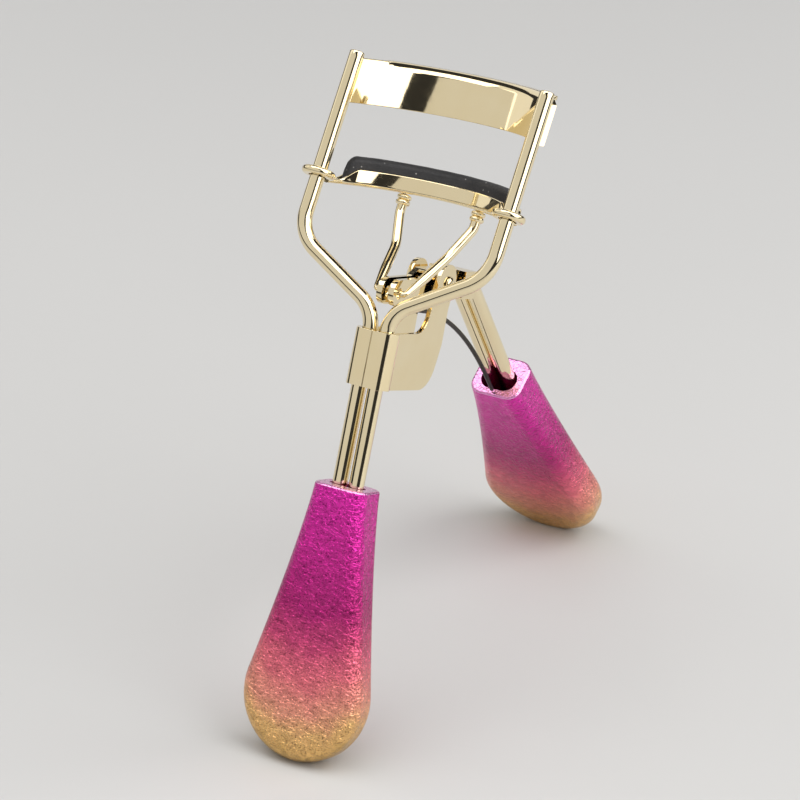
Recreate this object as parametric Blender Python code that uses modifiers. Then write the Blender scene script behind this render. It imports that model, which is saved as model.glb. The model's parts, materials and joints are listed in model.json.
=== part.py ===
"""Eyelash curler, standing open on its two handles. Metres, +X across, +Y back, +Z up."""

import math

import bmesh
import bpy
from mathutils import Matrix, Vector

MM = 0.001

# Attitude: the front shank leans back, the rails lean back further, the lever opens behind.
FRAME_LEAN = math.radians(21.9)
RAIL_KINK = math.radians(15.0)
LEVER_SPREAD = math.radians(53.6)
STAND_OFFSET_Y = -48.65 * MM

# Wire frame
WIRE_DIAMETER = 2.6 * MM
SHANK_PITCH = 3.1 * MM
RAIL_SPACING = 35.8 * MM
LEG_SLOPE = math.radians(30.0)
CORNER_HEIGHT = 86.5 * MM
RAIL_LENGTH = 32.4 * MM
CORNER_RADIUS = 7.0 * MM
SHOULDER_RADIUS = 6.0 * MM

# Handles
HANDLE_LENGTH = 47.4 * MM
HANDLE_TOP_WIDTH = 9.8 * MM
HANDLE_TOP_THICKNESS = 8.6 * MM
HANDLE_TIP_THICKNESS = 6.5 * MM
SPOON_RADIUS = 11.2 * MM
RIM_RADIUS = 2.2 * MM
FOOT_CUT = 0.6 * MM
TOP_EDGE_BEVEL = 0.5 * MM
SOCKET_DEPTH = 14.0 * MM
FRONT_SOCKET = (6.4 * MM, 3.4 * MM, 0.0)
REAR_SOCKET = (6.8 * MM, 4.6 * MM, -0.6 * MM)
FIT_GAP = 0.3 * MM

# Hinge bracket
BRACKET_SHEET = 0.8 * MM
BAND_VALLEY = 0.3 * MM
BAND_WRAP_START = math.radians(-100)
BAND_WRAP_STOP = math.radians(48)
BAND_BOTTOM = 64.4 * MM
BAND_TOP = 73.9 * MM
CHEEK_CENTRE = 2.75 * MM
CHEEK_FRONT = 3.2 * MM
CHEEK_BACK = 18.7 * MM
EAR_RADIUS = 3.3 * MM
PIVOT_BACK = 16.7 * MM
PIVOT_HEIGHT = 82.4 * MM
PIN_RADIUS = 0.75 * MM
PIN_HEAD_RADIUS = 1.3 * MM
PIN_HEAD_HEIGHT = 0.7 * MM
PIN_HEAD_GAP = 0.12 * MM
PIN_HOLE_RADIUS = 1.05 * MM

# Lever, from the pivot: Y back along the head, Z up along the front shank
TIP_REACH = 14.8 * MM
TIP_DROP = 2.0 * MM
KNUCKLE_RADIUS = 2.2 * MM
FORK_WIDTH = 3.2 * MM
FORK_SHEET = 0.7 * MM
WEB_START = 4.6 * MM
SLEEVE_WIDTH = 7.2 * MM
SLEEVE_START = 5.2 * MM
SLEEVE_END = 10.4 * MM
LEVER_BEND_BACK = 12.1 * MM
LEVER_BEND_HEIGHT = -0.1 * MM

# Jaws, in the rails' plane: Z along the rails, Y behind them
JAW_CENTRE_Y = -6.9 * MM
JAW_TILT = math.radians(18.0)
JAW_MIDDLE_RADIUS = 19.95 * MM
UPPER_JAW_BOTTOM = 23.3 * MM
UPPER_JAW_HEIGHT = 8.0 * MM
UPPER_JAW_SHEET = 0.8 * MM
UPPER_LIP = 1.9 * MM
UPPER_HALF_ANGLE = math.radians(64.0)
LOWER_JAW_BOTTOM = 9.1 * MM
CHANNEL_WIDTH = 3.9 * MM
CHANNEL_HEIGHT = 3.05 * MM
CHANNEL_SHEET = 0.7 * MM
CHANNEL_HALF_ANGLE = math.radians(62.0)
WALL_FULL_ANGLE = math.radians(47.0)
WALL_END_ANGLE = math.radians(56.0)
PAD_WIDTH = 2.2 * MM
PAD_TOP = 5.1 * MM
PAD_HALF_ANGLE = math.radians(53.0)
EYE_RADIUS = 2.9 * MM
EYE_BORE_RADIUS = 1.6 * MM
EYE_BOTTOM = 10.1 * MM
EYE_THICKNESS = 1.3 * MM
TAB_INNER_RADIUS = 1.5 * MM
TAB_SHEET = 0.75 * MM
TAB_HALF_ANGLE = math.radians(52.0)
TAB_OVERHANG = 0.3 * MM
END_WIDTH_SHARE = 0.62
END_HEIGHT_SHARE = 0.08
PAD_FLOOR_GAP = 0.15 * MM
PAD_END_ANGLE = math.radians(4.5)
PAD_END_SHARE = 0.45

# Push rods and return spring
ROD_DIAMETER = 1.7 * MM
ROD_TOP_X = 7.05 * MM
ROD_GAP = 0.3 * MM
ROD_NECK = 3.2 * MM
ROD_ELBOW = (5.0 * MM, 10.6 * MM, 87.4 * MM)
KNUCKLE_GAP = 0.35 * MM
BEAD_LENGTH = 1.2 * MM
BEAD_SCALE = 1.5
SPRING_DIAMETER = 0.8 * MM
SPRING_START = (0, 3.0 * MM, 76.2 * MM)
SPRING_CROWN = (0, 25.0 * MM, 81.0 * MM)
SPRING_END_DEPTH = 0.6 * MM
SPRING_END_FRONT = 3.4 * MM


def clear_scene():
    for obj in list(bpy.data.objects):
        bpy.data.objects.remove(obj, do_unlink=True)


def make_collection(name):
    collection = bpy.data.collections.new(name)
    bpy.context.scene.collection.children.link(collection)
    return collection


def make_material(name, colour, roughness, metallic):
    material = bpy.data.materials.new(name)
    material.use_nodes = True
    shader = material.node_tree.nodes["Principled BSDF"]
    shader.inputs["Base Color"].default_value = (*colour, 1.0)
    shader.inputs["Roughness"].default_value = roughness
    shader.inputs["Metallic"].default_value = metallic
    return material


def make_empty(name, collection, parent=None, location=(0, 0, 0), lean=0.0):
    empty = bpy.data.objects.new(name, None)
    empty.location = location
    empty.rotation_euler = (lean, 0, 0)
    empty.parent = parent
    collection.objects.link(empty)
    return empty


def add_object(name, data, collection, parent, material):
    obj = bpy.data.objects.new(name, data)
    obj.parent = parent
    if material:
        data.materials.append(material)
    collection.objects.link(obj)
    return obj


def mesh_object(name, bm, collection, parent, material):
    bmesh.ops.recalc_face_normals(bm, faces=bm.faces)
    mesh = bpy.data.meshes.new(name)
    bm.to_mesh(mesh)
    bm.free()
    mesh.shade_smooth()
    mesh.set_sharp_from_angle(angle=math.radians(40))
    return add_object(name, mesh, collection, parent, material)


def make_cutter(name, bm, parent):
    cutter = mesh_object(name, bm, CUTTERS, parent, None)
    cutter.hide_render = True
    cutter.display_type = "WIRE"
    return cutter


def add_boolean(obj, cutter, operation="DIFFERENCE"):
    modifier = obj.modifiers.new(cutter.name, "BOOLEAN")
    modifier.operation = operation
    modifier.solver = "EXACT"
    modifier.object = cutter


def rounded_path(corners, radii, steps=7):
    """The corners as a path, with each inner corner replaced by an arc of its radius."""
    points = [corners[0]]
    for before, corner, after, radius in zip(corners, corners[1:], corners[2:], radii):
        back = (before - corner).normalized()
        ahead = (after - corner).normalized()
        half = back.angle(ahead) / 2
        centre = corner + (back + ahead).normalized() * radius / math.sin(half)
        reach = radius / math.tan(half)
        start = corner + back * reach - centre
        end = corner + ahead * reach - centre
        sweep = start.angle(end)
        for step in range(steps + 1):
            turn = sweep * step / steps
            arm = (start * math.sin(sweep - turn) + end * math.sin(turn)) / math.sin(sweep)
            points.append(centre + arm)
    points.append(corners[-1])
    return points


def rounded_loop(corners, radii, steps=6):
    """A closed 2D outline from its corners, each one replaced by an arc of its radius."""
    points = []
    count = len(corners)
    for index, radius in enumerate(radii):
        before = corners[index - 1]
        corner = corners[index]
        after = corners[(index + 1) % count]
        if radius == 0:
            points.append(corner)
            continue
        points.extend(rounded_path([before, corner, after], [radius], steps)[1:-1])
    return points


def prism(outline, axis, low, high):
    """A bmesh solid: a closed outline of (first, second) points pushed from low to high along an axis."""
    bm = bmesh.new()
    place = {
        "X": lambda a, b, c: (c, a, b),
        "Y": lambda a, b, c: (a, c, b),
        "Z": lambda a, b, c: (a, b, c),
    }[axis]
    face = bm.faces.new([bm.verts.new(place(p[0], p[1], low)) for p in outline])
    top = bmesh.ops.extrude_face_region(bm, geom=[face])
    moved = [item for item in top["geom"] if isinstance(item, bmesh.types.BMVert)]
    bmesh.ops.translate(bm, verts=moved, vec=Vector(place(0, 0, high - low)))
    bmesh.ops.recalc_face_normals(bm, faces=bm.faces)
    return bm


def rod_along_x(radius, half_length, y, z, segments=24):
    bm = bmesh.new()
    turn = Matrix.Translation((0, y, z)) @ Matrix.Rotation(math.pi / 2, 4, "Y")
    bmesh.ops.create_cone(
        bm,
        cap_ends=True,
        segments=segments,
        radius1=radius,
        radius2=radius,
        depth=2 * half_length,
        matrix=turn,
    )
    return bm


def box(low, high):
    bm = bmesh.new()
    bmesh.ops.create_cube(bm, size=1.0)
    low = Vector(low)
    high = Vector(high)
    scale = Matrix.Diagonal((*(high - low), 1.0))
    bmesh.ops.transform(bm, verts=bm.verts, matrix=Matrix.Translation((low + high) / 2) @ scale)
    return bm


def make_wire(name, points, diameter, parent, material, scales=None, sides=3):
    curve = bpy.data.curves.new(name, "CURVE")
    curve.dimensions = "3D"
    curve.bevel_depth = diameter / 2
    curve.bevel_resolution = sides
    curve.use_fill_caps = True
    spline = curve.splines.new("POLY")
    spline.points.add(len(points) - 1)
    for index, point in enumerate(points):
        spline.points[index].co = (*point, 1.0)
        spline.points[index].radius = scales[index] if scales else 1.0
    spline.use_smooth = True
    return add_object(name, curve, PARTS, parent, material)


def spun_solid(section, centre, half_angle, steps, middle_turn=0.0):
    """A closed section of (radius, height) points turned about the Z line through centre."""
    bm = bmesh.new()
    face = bm.faces.new([bm.verts.new((0, radius, height)) for radius, height in section])
    start = Matrix.Rotation(middle_turn - half_angle, 4, "Z")
    bmesh.ops.transform(bm, verts=bm.verts, matrix=start)
    bmesh.ops.spin(
        bm,
        geom=[face],
        cent=(0, 0, 0),
        axis=(0, 0, 1),
        angle=2 * half_angle,
        steps=steps,
        use_merge=False,
        use_duplicate=False,
    )
    bmesh.ops.translate(bm, verts=bm.verts, vec=centre)
    bmesh.ops.recalc_face_normals(bm, faces=bm.faces)
    return bm


def tilt_jaw(bm):
    """Raises the back of an arc along the rails, so that its walls stay parallel to them."""
    for vert in bm.verts:
        vert.co.z += vert.co.y * math.tan(JAW_TILT)


def frame_wire_path(side):
    half_pitch = side * SHANK_PITCH / 2
    half_spacing = side * RAIL_SPACING / 2
    leg_run = (RAIL_SPACING - SHANK_PITCH) / 2
    shoulder = CORNER_HEIGHT - leg_run * math.tan(LEG_SLOPE)
    rail = Vector((0, math.sin(RAIL_KINK), math.cos(RAIL_KINK))) * RAIL_LENGTH
    corner = Vector((half_spacing, 0, CORNER_HEIGHT))
    corners = [
        Vector((half_pitch, 0, HANDLE_LENGTH - SOCKET_DEPTH + FIT_GAP)),
        Vector((half_pitch, 0, shoulder)),
        corner,
        corner + rail,
    ]
    return rounded_path(corners, [SHOULDER_RADIUS, CORNER_RADIUS])


def handle_outline(steps=26):
    """Half-widths of the spoon from its tip to its top: an arc, then a slightly hollow taper."""
    arc_end = math.radians(13.3)
    hollow = 1.25
    turns = 14
    arc = [-math.pi / 2 + (arc_end + math.pi / 2) * i / turns for i in range(1, turns + 1)]
    right = [Vector((SPOON_RADIUS * math.cos(a), SPOON_RADIUS * (1 + math.sin(a)))) for a in arc]
    widest = right[-1]
    top = HANDLE_TOP_WIDTH / 2
    for index in range(1, steps - turns + 1):
        share = 1 - index / (steps - turns)
        width = top + (widest.x - top) * share**hollow
        right.append(Vector((width, HANDLE_LENGTH + (widest.y - HANDLE_LENGTH) * share)))
    left = [Vector((-p.x, p.y)) for p in reversed(right)]
    return [Vector((0, 0))] + right + left


def make_handle(name, parent, material, socket_size):
    socket_width, socket_thickness, socket_y = socket_size
    bm = prism(handle_outline(), "Y", -0.5, 0.5)
    for vert in bm.verts:
        share = vert.co.z / HANDLE_LENGTH
        vert.co.y *= HANDLE_TIP_THICKNESS + (HANDLE_TOP_THICKNESS - HANDLE_TIP_THICKNESS) * share
    faces = [f for f in bm.faces if abs(f.normal.y) > 0.9]
    rim = [e for f in faces for e in f.edges if min(v.co.z for v in e.verts) < HANDLE_LENGTH * 0.999]
    bmesh.ops.bevel(bm, geom=rim, offset=RIM_RADIUS, segments=4, profile=0.5, affect="EDGES")
    top = [e for e in bm.edges if all(v.co.z > HANDLE_LENGTH * 0.999 for v in e.verts)]
    bmesh.ops.bevel(bm, geom=top, offset=TOP_EDGE_BEVEL, segments=2, profile=0.5, affect="EDGES")
    handle = mesh_object(name, bm, PARTS, parent, material)
    socket = rounded_loop(
        [
            Vector((-socket_width / 2, socket_y - socket_thickness / 2)),
            Vector((socket_width / 2, socket_y - socket_thickness / 2)),
            Vector((socket_width / 2, socket_y + socket_thickness / 2)),
            Vector((-socket_width / 2, socket_y + socket_thickness / 2)),
        ],
        [socket_thickness * 0.48] * 4,
        4,
    )
    cutter = prism(socket, "Z", HANDLE_LENGTH - SOCKET_DEPTH, HANDLE_LENGTH + 5 * MM)
    add_boolean(handle, make_cutter(name + "_socket", cutter, parent))
    add_boolean(handle, GROUND)
    return handle


def tip_height(lean):
    """How far the unrounded tip sits above the ground for the foot's flat to be FOOT_CUT deep."""
    inner = HANDLE_TIP_THICKNESS / 2 - RIM_RADIUS
    return (RIM_RADIUS - FOOT_CUT + inner * math.sin(lean)) / math.cos(lean) - RIM_RADIUS


def make_bracket(parent, material):
    wrap = WIRE_DIAMETER / 2 + FIT_GAP + BRACKET_SHEET / 2
    steps = 8
    lobe = []
    for step in range(steps + 1):
        turn = BAND_WRAP_START + (BAND_WRAP_STOP - BAND_WRAP_START) * step / steps
        lobe.append((SHANK_PITCH / 2 + wrap * math.cos(turn), wrap * math.sin(turn)))
    right = [(0, -wrap + BAND_VALLEY)] + lobe
    right += [(CHEEK_CENTRE, CHEEK_FRONT), (CHEEK_CENTRE, CHEEK_BACK + 4 * MM)]
    line = [(-x, y) for x, y in reversed(right[1:])] + right
    bm = bmesh.new()
    low = BAND_BOTTOM - 2 * MM
    verts = [bm.verts.new((x, y, low)) for x, y in line]
    edges = [bm.edges.new(pair) for pair in zip(verts, verts[1:])]
    grown = bmesh.ops.extrude_edge_only(bm, edges=edges)["geom"]
    raised = [item for item in grown if isinstance(item, bmesh.types.BMVert)]
    bmesh.ops.translate(bm, verts=raised, vec=(0, 0, 28 * MM))
    bracket = mesh_object("hinge_bracket", bm, PARTS, parent, material)
    solidify = bracket.modifiers.new("sheet", "SOLIDIFY")
    solidify.thickness = BRACKET_SHEET
    solidify.offset = 0.0
    solidify.use_even_offset = True
    ear_top = PIVOT_HEIGHT + EAR_RADIUS
    front = -wrap - 2 * MM
    corners = [
        (front, BAND_BOTTOM),
        (CHEEK_BACK - 1.9 * MM, BAND_BOTTOM - 0.4 * MM),
        (CHEEK_BACK, BAND_TOP - 2 * MM),
        (CHEEK_BACK - 0.2 * MM, PIVOT_HEIGHT - 4.4 * MM),
        (PIVOT_BACK + EAR_RADIUS, ear_top),
        (PIVOT_BACK - EAR_RADIUS, ear_top),
        (PIVOT_BACK - 5.3 * MM, BAND_TOP),
        (front, BAND_TOP),
    ]
    ear = EAR_RADIUS * 0.9
    radii = [0, 5 * MM, 4 * MM, 2 * MM, ear, ear, 3.4 * MM, 0]
    outline = rounded_loop([Vector(c) for c in corners], radii)
    side = make_cutter("bracket_side", prism(outline, "X", -6 * MM, 6 * MM), parent)
    add_boolean(bracket, side, "INTERSECT")
    hole = rod_along_x(PIN_HOLE_RADIUS, 7 * MM, PIVOT_BACK, PIVOT_HEIGHT)
    add_boolean(bracket, make_cutter("bracket_pin_hole", hole, parent))
    return bracket


def make_pin(parent, material):
    """A turned rivet with a domed head outside each cheek."""
    under_head = CHEEK_CENTRE + BRACKET_SHEET / 2 + PIN_HEAD_GAP
    half = [(0.0, under_head + PIN_HEAD_HEIGHT)]
    steps = 4
    for step in range(1, steps + 1):
        turn = math.pi / 2 * step / steps
        rise = PIN_HEAD_HEIGHT * math.cos(turn)
        half.append((PIN_HEAD_RADIUS * math.sin(turn), under_head + rise))
    half.append((PIN_RADIUS, under_head))
    profile = half + [(radius, -height) for radius, height in reversed(half)]
    bm = bmesh.new()
    verts = [bm.verts.new((radius, 0, height)) for radius, height in profile]
    for pair in zip(verts, verts[1:]):
        bm.edges.new(pair)
    pin = mesh_object("pivot_pin", bm, PARTS, parent, material)
    pin.location = (0, PIVOT_BACK, PIVOT_HEIGHT)
    pin.rotation_euler = (0, math.pi / 2, 0)
    screw = pin.modifiers.new("turn", "SCREW")
    screw.angle = 2 * math.pi
    screw.steps = 24
    screw.render_steps = 24
    screw.use_merge_vertices = True
    screw.merge_threshold = 0.00001
    return pin


def make_upper_jaw(parent, material):
    inner = JAW_MIDDLE_RADIUS - UPPER_JAW_SHEET / 2
    top = UPPER_JAW_BOTTOM + UPPER_JAW_HEIGHT
    lip_edge = inner + UPPER_JAW_SHEET + UPPER_LIP
    section = rounded_loop(
        [
            Vector((inner, UPPER_JAW_BOTTOM)),
            Vector((inner, top)),
            Vector((lip_edge, top)),
            Vector((lip_edge, top - UPPER_JAW_SHEET)),
            Vector((inner + UPPER_JAW_SHEET, top - UPPER_JAW_SHEET)),
            Vector((inner + UPPER_JAW_SHEET, UPPER_JAW_BOTTOM)),
        ],
        [0, 1.4 * MM, 0, 0, 0.6 * MM, 0],
        3,
    )
    centre = Vector((0, JAW_CENTRE_Y, 0))
    bm = spun_solid(section, centre, UPPER_HALF_ANGLE, 44)
    tilt_jaw(bm)
    jaw = mesh_object("upper_jaw", bm, PARTS, parent, material)
    tab = [
        (TAB_INNER_RADIUS, UPPER_JAW_BOTTOM - TAB_OVERHANG),
        (TAB_INNER_RADIUS, top + TAB_OVERHANG),
        (TAB_INNER_RADIUS + TAB_SHEET, top + TAB_OVERHANG),
        (TAB_INNER_RADIUS + TAB_SHEET, UPPER_JAW_BOTTOM - TAB_OVERHANG),
    ]
    for side, name in ((-1, "left"), (1, "right")):
        centre = Vector((side * RAIL_SPACING / 2, 0, 0))
        wrap = spun_solid(tab, centre, TAB_HALF_ANGLE, 10)
        add_boolean(jaw, make_cutter("upper_jaw_tab_" + name, wrap, parent), "UNION")
    return jaw


def channel_section():
    inner = JAW_MIDDLE_RADIUS - CHANNEL_WIDTH / 2
    outer = JAW_MIDDLE_RADIUS + CHANNEL_WIDTH / 2
    bottom = LOWER_JAW_BOTTOM
    floor = bottom + CHANNEL_SHEET
    top = bottom + CHANNEL_HEIGHT
    return rounded_loop(
        [
            Vector((inner, bottom)),
            Vector((inner, top)),
            Vector((inner + CHANNEL_SHEET, top)),
            Vector((inner + CHANNEL_SHEET, floor)),
            Vector((outer - CHANNEL_SHEET, floor)),
            Vector((outer - CHANNEL_SHEET, top - 0.8 * MM)),
            Vector((outer, top - 0.8 * MM)),
            Vector((outer, bottom)),
        ],
        [0.9 * MM, 0, 0, 0, 0, 0, 0, 0.9 * MM],
        3,
    )


def narrow_channel_ends(bm):
    """Past the walls' ends the channel runs out into a narrow strip that reaches the rail eyes."""
    centre = Vector((0, JAW_CENTRE_Y, 0))
    floor = LOWER_JAW_BOTTOM + CHANNEL_SHEET
    for vert in bm.verts:
        arm = vert.co - centre
        turn = abs(math.atan2(arm.x, arm.y))
        share = (WALL_END_ANGLE - turn) / (WALL_END_ANGLE - WALL_FULL_ANGLE)
        share = min(max(share, 0.0), 1.0)
        share = share * share * (3 - 2 * share)
        radius = math.hypot(arm.x, arm.y)
        width = END_WIDTH_SHARE + (1 - END_WIDTH_SHARE) * share
        wanted = JAW_MIDDLE_RADIUS + (radius - JAW_MIDDLE_RADIUS) * width
        vert.co.x = centre.x + arm.x * wanted / radius
        vert.co.y = centre.y + arm.y * wanted / radius
        if vert.co.z > floor + 0.01 * MM:
            height = END_HEIGHT_SHARE + (1 - END_HEIGHT_SHARE) * share
            vert.co.z = floor + (vert.co.z - floor) * height


def make_lower_jaw(parent, material):
    centre = Vector((0, JAW_CENTRE_Y, 0))
    bm = spun_solid(channel_section(), centre, CHANNEL_HALF_ANGLE, 48)
    narrow_channel_ends(bm)
    tilt_jaw(bm)
    jaw = mesh_object("lower_jaw", bm, PARTS, parent, material)
    for side, name in ((-1, "left"), (1, "right")):
        ring = bmesh.new()
        middle = (side * RAIL_SPACING / 2, 0, EYE_BOTTOM + EYE_THICKNESS / 2)
        bmesh.ops.create_cone(
            ring,
            cap_ends=True,
            segments=32,
            radius1=EYE_RADIUS,
            radius2=EYE_RADIUS,
            depth=EYE_THICKNESS,
            matrix=Matrix.Translation(middle),
        )
        rims = [e for e in ring.edges if abs(e.verts[0].co.z - e.verts[1].co.z) < 0.01 * MM]
        bmesh.ops.bevel(ring, geom=rims, offset=0.4 * MM, segments=2, profile=0.5, affect="EDGES")
        add_boolean(jaw, make_cutter("lower_jaw_eye_" + name, ring, parent), "UNION")
    for side, name in ((-1, "left"), (1, "right")):
        bore = bmesh.new()
        middle = (side * RAIL_SPACING / 2, 0, EYE_BOTTOM)
        bmesh.ops.create_cone(
            bore,
            cap_ends=True,
            segments=24,
            radius1=EYE_BORE_RADIUS,
            radius2=EYE_BORE_RADIUS,
            depth=16 * MM,
            matrix=Matrix.Translation(middle),
        )
        add_boolean(jaw, make_cutter("lower_jaw_bore_" + name, bore, parent))
    return jaw


def make_pad(parent, material):
    half = PAD_WIDTH / 2
    floor = LOWER_JAW_BOTTOM + CHANNEL_SHEET + PAD_FLOOR_GAP
    top = LOWER_JAW_BOTTOM + PAD_TOP
    middle = JAW_MIDDLE_RADIUS
    section = rounded_loop(
        [
            Vector((middle - half, floor)),
            Vector((middle - half, top)),
            Vector((middle + half, top)),
            Vector((middle + half, floor)),
        ],
        [0, 0.9 * MM, 0.9 * MM, 0],
        4,
    )
    centre = Vector((0, JAW_CENTRE_Y, 0))
    bm = spun_solid(section, centre, PAD_HALF_ANGLE, 40)
    for vert in bm.verts:
        arm = vert.co - centre
        left = PAD_HALF_ANGLE - abs(math.atan2(arm.x, arm.y))
        share = min(left / PAD_END_ANGLE, 1.0)
        share = math.sqrt(max(1 - (1 - share) ** 2, 0.0))
        share = PAD_END_SHARE + (1 - PAD_END_SHARE) * share
        radius = math.hypot(arm.x, arm.y)
        wanted = middle + (radius - middle) * share
        vert.co.x = centre.x + arm.x * wanted / radius
        vert.co.y = centre.y + arm.y * wanted / radius
        vert.co.z = floor + (vert.co.z - floor) * share
    tilt_jaw(bm)
    return mesh_object("lash_pad", bm, PARTS, parent, material)


def jaw_point(x, height):
    """A point on the jaws' middle arc, height above the arc's own plane, in the rails' frame."""
    y = JAW_CENTRE_Y + math.sqrt(JAW_MIDDLE_RADIUS**2 - x**2)
    return Vector((x, y, height + y * math.tan(JAW_TILT)))


def rail_to_shank(point):
    """From the rails' frame to the shank's frame."""
    turned = Matrix.Rotation(-RAIL_KINK, 3, "X") @ point
    return turned + Vector((0, 0, CORNER_HEIGHT))


def push_rod_path(side):
    top_height = LOWER_JAW_BOTTOM - ROD_GAP
    top = rail_to_shank(jaw_point(side * ROD_TOP_X, top_height))
    neck = rail_to_shank(jaw_point(side * ROD_TOP_X, top_height - ROD_NECK))
    elbow = Vector((side * ROD_ELBOW[0], ROD_ELBOW[1], ROD_ELBOW[2]))
    tip_x = side * (FORK_WIDTH / 2 + KNUCKLE_GAP + ROD_DIAMETER / 2)
    tip = Vector((tip_x, PIVOT_BACK - TIP_REACH + 0.4 * MM, PIVOT_HEIGHT - TIP_DROP + 0.1 * MM))
    return rounded_path([top, neck, elbow, tip], [3 * MM, 7 * MM])


def make_push_rod(name, side, material):
    """A wire with two swaged beads just under the jaw."""
    path = push_rod_path(side)
    down = (path[1] - path[0]).normalized()
    points = []
    scales = []
    steps = 16
    for step in range(steps + 1):
        along = 2 * BEAD_LENGTH * step / steps
        swell = abs(math.sin(math.pi * along / BEAD_LENGTH))
        points.append(path[0] + down * along)
        scales.append(1.0 + (BEAD_SCALE - 1.0) * math.sqrt(swell))
    rest = [point for point in path[1:] if (point - path[0]).length > 2 * BEAD_LENGTH + ROD_GAP]
    points += rest
    scales += [1.0] * len(rest)
    slide = JAW_SLIDE.matrix_basis.inverted()
    local = [slide @ point for point in points]
    return make_wire(name, local, ROD_DIAMETER, JAW_SLIDE, material, scales, 2)


def fork_outline():
    """Side view of the lever head about the pivot, from the knuckle to the sleeve's end."""
    knuckle_y = -TIP_REACH - KNUCKLE_RADIUS
    low = -TIP_DROP - KNUCKLE_RADIUS
    corners = [
        (knuckle_y, low),
        (knuckle_y + 5.4 * MM, low),
        (-2.0 * MM, -3.0 * MM),
        (3.5 * MM, -2.6 * MM),
        (SLEEVE_END, -2.5 * MM),
        (SLEEVE_END, 2.3 * MM),
        (-4.0 * MM, 2.0 * MM),
        (-7.0 * MM, 0.6 * MM),
        (knuckle_y, -TIP_DROP + KNUCKLE_RADIUS),
    ]
    rounding = KNUCKLE_RADIUS * 0.95
    radii = [rounding, 1 * MM, 3 * MM, 2 * MM, 0.8 * MM, 1.2 * MM, 1.2 * MM, 2 * MM, rounding]
    return rounded_loop([Vector(c) for c in corners], radii, 5)


def make_lever_head(parent, material):
    bm = prism(fork_outline(), "X", -SLEEVE_WIDTH / 2, SLEEVE_WIDTH / 2)
    head = mesh_object("lever_head", bm, PARTS, parent, material)
    reach = 30 * MM
    for side, name in ((-1, "left"), (1, "right")):
        near = side * FORK_WIDTH / 2
        far = side * reach
        block = box((min(near, far), -reach, -reach), (max(near, far), SLEEVE_START, reach))
        add_boolean(head, make_cutter("lever_head_waist_" + name, block, parent))
    gap = FORK_WIDTH / 2 - FORK_SHEET
    fork = box((-gap, -reach, -reach), (gap, -WEB_START, reach))
    add_boolean(head, make_cutter("lever_head_fork_gap", fork, parent))
    hollow = box((-gap, -WEB_START - 1 * MM, -reach), (gap, SLEEVE_START - 1.2 * MM, 1.2 * MM))
    add_boolean(head, make_cutter("lever_head_hollow", hollow, parent))
    radius = WIRE_DIAMETER / 2 + FIT_GAP
    half = SHANK_PITCH / 2 + radius
    slot = rounded_loop(
        [
            Vector((-half, LEVER_BEND_HEIGHT - radius)),
            Vector((half, LEVER_BEND_HEIGHT - radius)),
            Vector((half, LEVER_BEND_HEIGHT + radius)),
            Vector((-half, LEVER_BEND_HEIGHT + radius)),
        ],
        [radius * 0.97] * 4,
        5,
    )
    socket = prism(slot, "Y", SLEEVE_START + 0.8 * MM, SLEEVE_END + 5 * MM)
    add_boolean(head, make_cutter("lever_head_socket", socket, parent))
    hole = rod_along_x(PIN_HOLE_RADIUS, 7 * MM, 0, 0)
    add_boolean(head, make_cutter("lever_head_pin_hole", hole, parent))
    return head


def lever_handle_top():
    """The lever's bend and the place of its handle's top, in the lever's frame."""
    bend = Vector((0, LEVER_BEND_BACK, LEVER_BEND_HEIGHT))
    down = Vector((0, math.sin(LEVER_SPREAD), -math.cos(LEVER_SPREAD)))
    lean = LEVER_SPREAD - FRAME_LEAN
    back = PIVOT_BACK + LEVER_BEND_BACK
    high = PIVOT_HEIGHT + LEVER_BEND_HEIGHT
    drop = high * math.cos(FRAME_LEAN) - back * math.sin(FRAME_LEAN) + FRAME_LIFT
    length = (drop - tip_height(lean) * math.cos(lean)) / math.cos(lean)
    return bend, bend + down * (length - HANDLE_LENGTH), down


def make_lever_wires(parent, material):
    bend, top, down = lever_handle_top()
    for side, name in ((-1, "left"), (1, "right")):
        shift = Vector((side * SHANK_PITCH / 2, 0, 0))
        corners = [
            Vector((0, SLEEVE_START + 1.2 * MM, LEVER_BEND_HEIGHT)) + shift,
            bend + shift,
            top + down * (SOCKET_DEPTH - 0.6 * MM) + shift,
        ]
        make_wire(
            "lever_wire_" + name, rounded_path(corners, [4 * MM]), WIRE_DIAMETER, parent, material
        )


def make_spring(parent, material):
    """A thin blade of wire from between the shank wires to the mouth of the lever's handle."""
    _, top, down = lever_handle_top()
    pivot = Vector((0, PIVOT_BACK, PIVOT_HEIGHT))
    front = Vector((0, -math.cos(LEVER_SPREAD), -math.sin(LEVER_SPREAD)))
    end = pivot + top - down * SPRING_END_DEPTH + front * SPRING_END_FRONT
    start = Vector(SPRING_START)
    crown = Vector(SPRING_CROWN)
    points = []
    steps = 14
    for step in range(steps + 1):
        share = step / steps
        middle = crown * 2 * share * (1 - share)
        points.append(start * (1 - share) ** 2 + middle + end * share**2)
    make_wire("return_spring", points, SPRING_DIAMETER, parent, material, None, 2)


clear_scene()
PARTS = make_collection("eyelash_curler")
CUTTERS = make_collection("cutters")

GOLD = make_material("pale_gold_plate", (0.90, 0.77, 0.50), 0.12, 1.0)
GOLD_WIRE = make_material("pale_gold_wire", (0.91, 0.79, 0.53), 0.12, 1.0)
RUBBER = make_material("black_rubber", (0.02, 0.02, 0.022), 0.75, 0.0)
FOIL = make_material("magenta_foil", (0.62, 0.05, 0.35), 0.25, 0.8)
SPRING_STEEL = make_material("dark_spring_steel", (0.12, 0.11, 0.11), 0.4, 1.0)

FRAME_LIFT = tip_height(FRAME_LEAN) * math.cos(FRAME_LEAN)
GROUND = make_cutter("ground", box((-0.1, -0.2, -0.05), (0.1, 0.2, 0.0)), None)

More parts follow.
